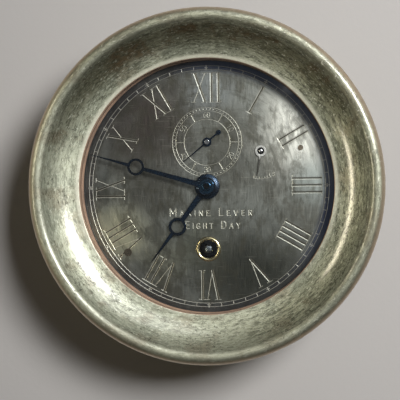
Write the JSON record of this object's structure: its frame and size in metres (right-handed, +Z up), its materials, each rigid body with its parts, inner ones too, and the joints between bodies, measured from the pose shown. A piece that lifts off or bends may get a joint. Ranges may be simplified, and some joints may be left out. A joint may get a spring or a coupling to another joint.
{
  "type": "bulkhead clock",
  "caption": "Round brass ship's bulkhead clock: dished screw-on bezel, engraved dial with seconds ring, blued hands and a lever movement behind it.",
  "frame": {"origin": "centre of the case's flat back face, where it meets the bulkhead", "axes": "+Z up through 12 on the dial, the dial faces -Y, +X to the viewer's right"},
  "size_m": [0.21, 0.0717, 0.21],
  "materials": {
    "case_brass": "worn satin",
    "bezel_brass": "tarnished olive satin, polished on the bead",
    "dial_brass": "brushed and tarnished grey brown",
    "bright_brass": "turned, bright",
    "plate_brass": "satin",
    "wheel_brass": "polished",
    "steel": "polished",
    "blued_steel": "heat blued",
    "spring_steel": "hardened",
    "ruby": "clear, polished",
    "glass": "clear flat",
    "gasket_rubber": "matt"
  },
  "bodies": {
    "case": {"case_body": "case_brass", "dial": "dial_brass", "dial_ring": "bright_brass", "winding_hole_bush": "bright_brass", "dial_posts": "bright_brass", "dial_screws": "blued_steel", "back_plate": "plate_brass", "front_plate": "plate_brass", "plate_bushes": "bright_brass", "front_jewels": "ruby", "plate_pillars": "plate_brass", "plate_screws": "blued_steel", "movement_screws": "steel", "minute_wheel_stud": "steel", "click_screw": "blued_steel", "click_spring": "spring_steel", "pallet_bridge": "plate_brass", "bridge_screws": "blued_steel", "banking_pins": "steel", "balance_cock": "plate_brass", "cock_screw": "blued_steel"},
    "bezel_seal": {"bezel_gasket": "gasket_rubber"},
    "bezel": {"bezel": "bezel_brass", "glass": "glass", "glass_retaining_ring": "bezel_brass"},
    "minute": {"cannon_pinion": "steel", "minute_hand": "blued_steel", "hand_washer": "blued_steel", "hand_nut": "blued_steel"},
    "motion_wheel": {"minute_wheel": "wheel_brass"},
    "hour": {"hour_wheel": "wheel_brass", "hour_hand": "blued_steel"},
    "centre": {"centre_arbor": "steel", "centre_wheel": "wheel_brass"},
    "second": {"second_arbor": "steel", "second_wheel": "wheel_brass"},
    "third": {"third_arbor": "steel", "third_wheel": "wheel_brass"},
    "seconds": {"fourth_arbor": "steel", "fourth_wheel": "wheel_brass", "seconds_hand": "blued_steel"},
    "escape": {"escape_arbor": "steel", "escape_wheel": "steel"},
    "lever": {"pallet_lever": "steel"},
    "balance": {"balance_staff": "steel", "balance_wheel": "wheel_brass", "roller": "steel", "hairspring": "blued_steel"},
    "regulator": {"regulator_arm": "steel", "regulator_pointer": "bright_brass"},
    "barrel": {"barrel_drum": "wheel_brass", "barrel_cover": "wheel_brass", "mainspring": "spring_steel"},
    "winding": {"barrel_arbor": "steel", "ratchet_wheel": "steel"},
    "click": {"click": "steel"}
  },
  "joints": [
    {"name": "bezel_lift", "type": "slide", "parent": "case", "child": "bezel_seal", "axis": [0, -1, 0], "range_m": [0, 0.008]},
    {"name": "bezel_unscrew", "type": "hinge", "parent": "bezel_seal", "child": "bezel", "pos_m": [0, 0, 0], "axis": [0, -1, 0], "range_deg": [0, 1440]},
    {"name": "minute_hand_setting", "type": "hinge", "parent": "case", "child": "minute", "pos_m": [0, 0, 0], "axis": [0, 1, 0], "continuous": true},
    {"name": "minute_wheel_turn", "type": "hinge", "parent": "case", "child": "motion_wheel", "pos_m": [-0.01018, 0, -0.01018], "axis": [0, 1, 0], "continuous": true},
    {"name": "hour_hand_turn", "type": "hinge", "parent": "case", "child": "hour", "pos_m": [0, 0, 0], "axis": [0, 1, 0], "continuous": true},
    {"name": "seconds_turn", "type": "hinge", "parent": "case", "child": "seconds", "pos_m": [0, 0, 0.027], "axis": [0, 1, 0], "continuous": true},
    {"name": "third_turn", "type": "hinge", "parent": "case", "child": "third", "pos_m": [-0.01432, 0, 0.01432], "axis": [0, 1, 0], "continuous": true},
    {"name": "centre_turn", "type": "hinge", "parent": "case", "child": "centre", "pos_m": [0, 0, 0], "axis": [0, 1, 0], "continuous": true},
    {"name": "second_turn", "type": "hinge", "parent": "case", "child": "second", "pos_m": [0.01389, 0, -0.01575], "axis": [0, 1, 0], "continuous": true},
    {"name": "barrel_turn", "type": "hinge", "parent": "case", "child": "barrel", "pos_m": [0, 0, -0.0382], "axis": [0, 1, 0], "continuous": true},
    {"name": "escape_turn", "type": "hinge", "parent": "case", "child": "escape", "pos_m": [0.01548, 0, 0.02411], "axis": [0, 1, 0], "continuous": true},
    {"name": "lever_rock", "type": "hinge", "parent": "case", "child": "lever", "pos_m": [0.02257, 0, 0.02287], "axis": [0, 1, 0], "range_deg": [-3, 3]},
    {"name": "balance_swing", "type": "hinge", "parent": "case", "child": "balance", "pos_m": [0.0326, 0, 0.0211], "axis": [0, 1, 0], "range_deg": [-220, 220]},
    {"name": "regulator_swing", "type": "hinge", "parent": "case", "child": "regulator", "pos_m": [0.0326, 0, 0.0211], "axis": [0, 1, 0], "range_deg": [-28.6, 7.4]},
    {"name": "winding_turn", "type": "hinge", "parent": "case", "child": "winding", "pos_m": [0, 0, -0.0382], "axis": [0, 1, 0], "continuous": true},
    {"name": "click_lift", "type": "hinge", "parent": "case", "child": "click", "pos_m": [-0.0122, 0, -0.03375], "axis": [0, -1, 0], "range_deg": [0, 5]}
  ],
  "couplings": [
    {"joint": "bezel_lift", "follows": "bezel_unscrew", "m_per_rad": 0.00031831},
    {"joint": "minute_wheel_turn", "follows": "minute_hand_setting", "ratio": -0.33333},
    {"joint": "hour_hand_turn", "follows": "minute_hand_setting", "ratio": 0.083333},
    {"joint": "third_turn", "follows": "seconds_turn", "ratio": -0.13333},
    {"joint": "centre_turn", "follows": "seconds_turn", "ratio": 0.016667},
    {"joint": "second_turn", "follows": "seconds_turn", "ratio": -0.0027778},
    {"joint": "barrel_turn", "follows": "seconds_turn", "ratio": 0.00039683},
    {"joint": "escape_turn", "follows": "seconds_turn", "ratio": -8}
  ]
}
